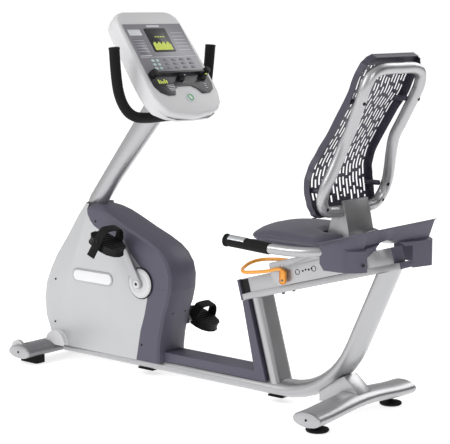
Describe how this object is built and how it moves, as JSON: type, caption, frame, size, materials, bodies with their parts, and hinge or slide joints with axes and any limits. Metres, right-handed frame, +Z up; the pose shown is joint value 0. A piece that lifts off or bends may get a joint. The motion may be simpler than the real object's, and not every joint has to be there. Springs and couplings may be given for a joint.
{
  "type": "recumbent exercise bike",
  "caption": "Recumbent exercise bike with a bent oval frame tube, cased crank drive, console on a raked mast and a seat that slides on an inclined rail.",
  "frame": {"origin": "on the floor under the centre of the bounding box", "axes": "+X to the rear of the bike (the way the rider leans back), -X the way the rider faces, +Y to the rider's right, +Z up"},
  "size_m": [1.7061, 0.5806, 1.3678],
  "materials": {
    "silver_paint": "satin",
    "grey_paint": "satin",
    "white_plastic": "semi-gloss",
    "violet_plastic": "fine texture",
    "violet_vinyl": "soft vinyl",
    "black_plastic": "fine texture",
    "black_rubber": "matt",
    "bare_steel": "turned",
    "orange_paint": "gloss",
    "green_plastic": "gloss",
    "grey_overlay": "satin film"
  },
  "bodies": {
    "frame": {"main_tube": "silver_paint", "front_post": "silver_paint", "tube_cover": "violet_plastic", "seat_rail": "silver_paint", "rail_end_cap": "violet_plastic", "rear_gusset": "silver_paint", "rear_cross_tube": "silver_paint", "front_cross_tube": "grey_paint", "mast": "silver_paint", "drive_cover_upper": "violet_plastic", "drive_cover_lower": "violet_plastic", "side_cover_left": "white_plastic", "side_cover_right": "white_plastic", "front_boot_left": "white_plastic", "front_boot_right": "white_plastic", "rear_cap_left": "silver_paint", "rear_cap_right": "silver_paint", "front_cap_left": "silver_paint", "front_cap_right": "silver_paint", "rear_foot_left": "black_plastic", "rear_foot_right": "black_plastic", "front_foot_left": "black_rubber", "front_foot_right": "black_rubber", "bottom_bracket": "grey_paint", "crank_bearing": "bare_steel", "drive_belt": "black_rubber", "handlebar": "black_rubber", "console_front": "white_plastic", "console_back": "white_plastic", "display_panel": "grey_overlay", "control_panel": "black_plastic"},
    "crankset": {"crank_axle": "bare_steel", "drive_pulley": "bare_steel", "crank_left": "silver_paint", "crank_right": "silver_paint", "crank_disc_left": "white_plastic", "crank_disc_right": "white_plastic"},
    "left_pedal": {"pedal_left": "black_plastic", "pedal_strap_left": "black_rubber"},
    "right_pedal": {"pedal_right": "black_plastic", "pedal_strap_right": "black_rubber"},
    "flywheel": {"flywheel": "bare_steel"},
    "left_transport_wheel": {"transport_wheel_left": "white_plastic"},
    "right_transport_wheel": {"transport_wheel_right": "white_plastic"},
    "seat": {"seat_carriage": "silver_paint", "seat_pan": "violet_plastic", "seat_cushion": "violet_vinyl", "seat_handle": "silver_paint", "seat_grip_left": "black_rubber", "seat_grip_right": "black_rubber", "back_tray": "violet_plastic", "backrest_column": "silver_paint", "backrest_frame": "silver_paint", "backrest_shell": "violet_plastic"},
    "seat_lever": {"seat_lever": "orange_paint"},
    "front_roller": {"carriage_roller_front": "bare_steel"},
    "rear_roller": {"carriage_roller_rear": "bare_steel"},
    "start_button": {"start_button": "green_plastic"},
    "left_toggle": {"toggle_left": "black_plastic"},
    "right_toggle": {"toggle_right": "black_plastic"}
  },
  "joints": [
    {"name": "crank_spin", "type": "hinge", "parent": "frame", "child": "crankset", "pos_m": [-0.272, 0, 0.364], "axis": [0, 1, 0], "continuous": true},
    {"name": "flywheel_spin", "type": "hinge", "parent": "frame", "child": "flywheel", "pos_m": [-0.544, 0, 0.236], "axis": [0, 1, 0], "continuous": true},
    {"name": "left_pedal_spin", "type": "hinge", "parent": "crankset", "child": "left_pedal", "pos_m": [-0.35557, -0.17, 0.52116], "axis": [0, 1, 0], "continuous": true},
    {"name": "right_pedal_spin", "type": "hinge", "parent": "crankset", "child": "right_pedal", "pos_m": [-0.18843, 0.17, 0.20684], "axis": [0, 1, 0], "continuous": true},
    {"name": "left_transport_wheel_spin", "type": "hinge", "parent": "frame", "child": "left_transport_wheel", "pos_m": [-0.817, -0.204, 0.054], "axis": [0, 1, 0], "continuous": true},
    {"name": "right_transport_wheel_spin", "type": "hinge", "parent": "frame", "child": "right_transport_wheel", "pos_m": [-0.817, 0.204, 0.054], "axis": [0, 1, 0], "continuous": true},
    {"name": "seat_slide", "type": "slide", "parent": "frame", "child": "seat", "axis": [0.962, 0, 0.273], "range_m": [-0.14, 0.12]},
    {"name": "seat_lever_lift", "type": "hinge", "parent": "seat", "child": "seat_lever", "pos_m": [0.388, 0, 0.455], "axis": [0, 1, 0], "range_deg": [0, 14], "stiffness_Nm_per_rad": 3, "springref_deg": -11.46},
    {"name": "front_roller_spin", "type": "hinge", "parent": "seat", "child": "front_roller", "pos_m": [0.37144, 0, 0.49814], "axis": [0, 1, 0], "continuous": true},
    {"name": "rear_roller_spin", "type": "hinge", "parent": "seat", "child": "rear_roller", "pos_m": [0.56673, 0, 0.55355], "axis": [0, 1, 0], "continuous": true},
    {"name": "start_button_press", "type": "slide", "parent": "frame", "child": "start_button", "axis": [-0.8131, 0, -0.5821], "range_m": [0, 0.002], "stiffness_N_per_m": 400, "springref_m": -0.001},
    {"name": "left_toggle_rock", "type": "hinge", "parent": "frame", "child": "left_toggle", "pos_m": [-0.13433, -0.002, 1.13008], "axis": [0, 1, 0], "range_deg": [-10, 10], "stiffness_Nm_per_rad": 0.06},
    {"name": "right_toggle_rock", "type": "hinge", "parent": "frame", "child": "right_toggle", "pos_m": [-0.13433, 0.118, 1.13008], "axis": [0, 1, 0], "range_deg": [-10, 10], "stiffness_Nm_per_rad": 0.06}
  ],
  "couplings": [
    {"joint": "flywheel_spin", "follows": "crank_spin", "ratio": 4},
    {"joint": "front_roller_spin", "follows": "seat_slide", "rad_per_m": 68.966},
    {"joint": "rear_roller_spin", "follows": "seat_slide", "rad_per_m": 68.966}
  ]
}
